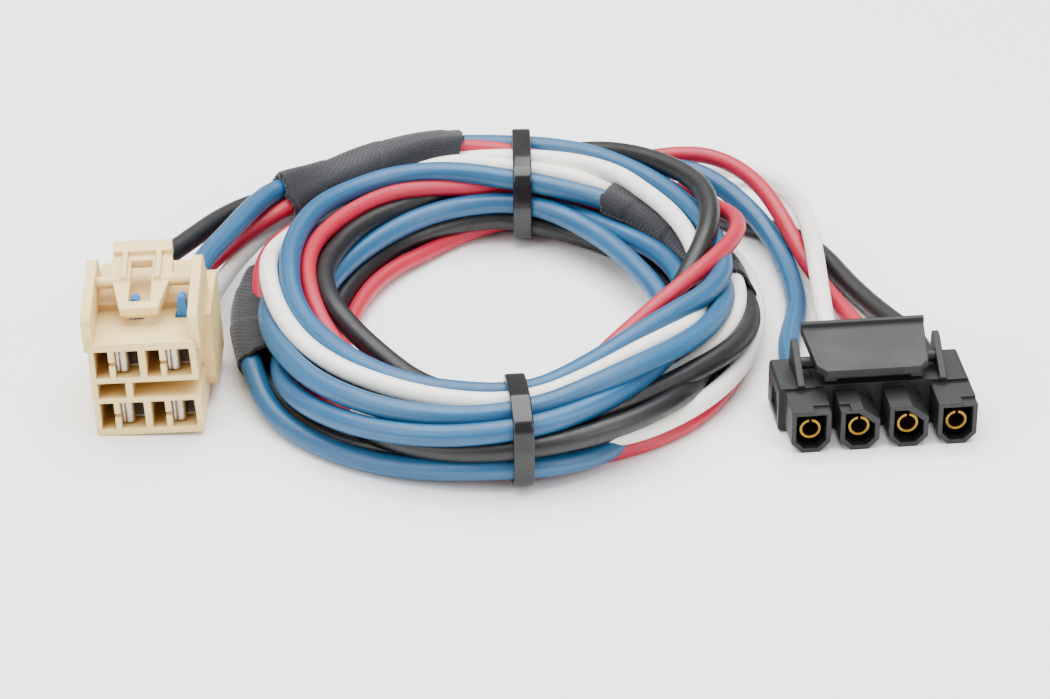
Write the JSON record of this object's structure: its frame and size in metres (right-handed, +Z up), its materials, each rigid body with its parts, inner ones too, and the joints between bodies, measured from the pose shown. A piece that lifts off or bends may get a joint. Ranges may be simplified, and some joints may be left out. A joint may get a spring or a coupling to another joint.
{
  "type": "wiring harness adapter",
  "caption": "Coiled wiring adapter with a cream latching connector at one end and a black in-line connector at the other, tied with cable ties and wrapped in cloth tape.",
  "frame": {"origin": "on the table, under the middle of the box round the two connectors", "axes": "+X from the cream connector to the black connector, +Z up from the table, -Y the way the mating faces look"},
  "size_m": [0.1153, 0.0876, 0.0203],
  "materials": {
    "cream_nylon": "satin moulded",
    "blue_plastic": "gloss moulded",
    "tin_plate": "tin plated",
    "brass": "bright stamped",
    "black_nylon": "satin moulded",
    "tie_nylon": "gloss moulded",
    "cloth_tape": "woven",
    "wire_blue": "extruded",
    "wire_white": "extruded",
    "wire_red": "extruded",
    "wire_black": "extruded"
  },
  "bodies": {
    "harness": {"black_housing": "black_nylon", "brass_socket_1": "brass", "brass_socket_2": "brass", "brass_socket_3": "brass", "brass_socket_4": "brass", "cream_housing": "cream_nylon", "lead_in_black": "wire_black", "lead_in_blue": "wire_blue", "lead_in_red": "wire_red", "lead_in_white": "wire_white", "lead_out_black": "wire_black", "lead_out_blue": "wire_blue", "lead_out_red": "wire_red", "lead_out_white": "wire_white", "tape_entry": "cloth_tape", "tape_left": "cloth_tape", "tape_right": "cloth_tape", "tie_back": "tie_nylon", "tie_front": "tie_nylon", "tin_terminal_1": "tin_plate", "tin_terminal_2": "tin_plate", "tin_terminal_3": "tin_plate", "tin_terminal_4": "tin_plate", "wire_coil": "wire_blue"},
    "vehicle_latch": {"cream_latch": "cream_nylon"},
    "lock_comb": {"cream_lock": "blue_plastic"},
    "controller_latch": {"black_latch": "black_nylon"}
  },
  "joints": [
    {"name": "vehicle_latch_press", "type": "hinge", "parent": "harness", "child": "vehicle_latch", "pos_m": [-0.04963, 0.0022, 0.01741], "axis": [-0.9986, 0, -0.0523], "range_deg": [0, 9], "stiffness_Nm_per_rad": 0.3},
    {"name": "lock_comb_slide", "type": "slide", "parent": "harness", "child": "lock_comb", "axis": [0.0523, 0, -0.9986], "range_m": [0, 0.0015]},
    {"name": "controller_latch_press", "type": "hinge", "parent": "harness", "child": "controller_latch", "pos_m": [0.04461, -0.00186, 0.0081], "axis": [-0.9932, -0.1167, 0], "range_deg": [0, 8], "stiffness_Nm_per_rad": 0.4}
  ]
}
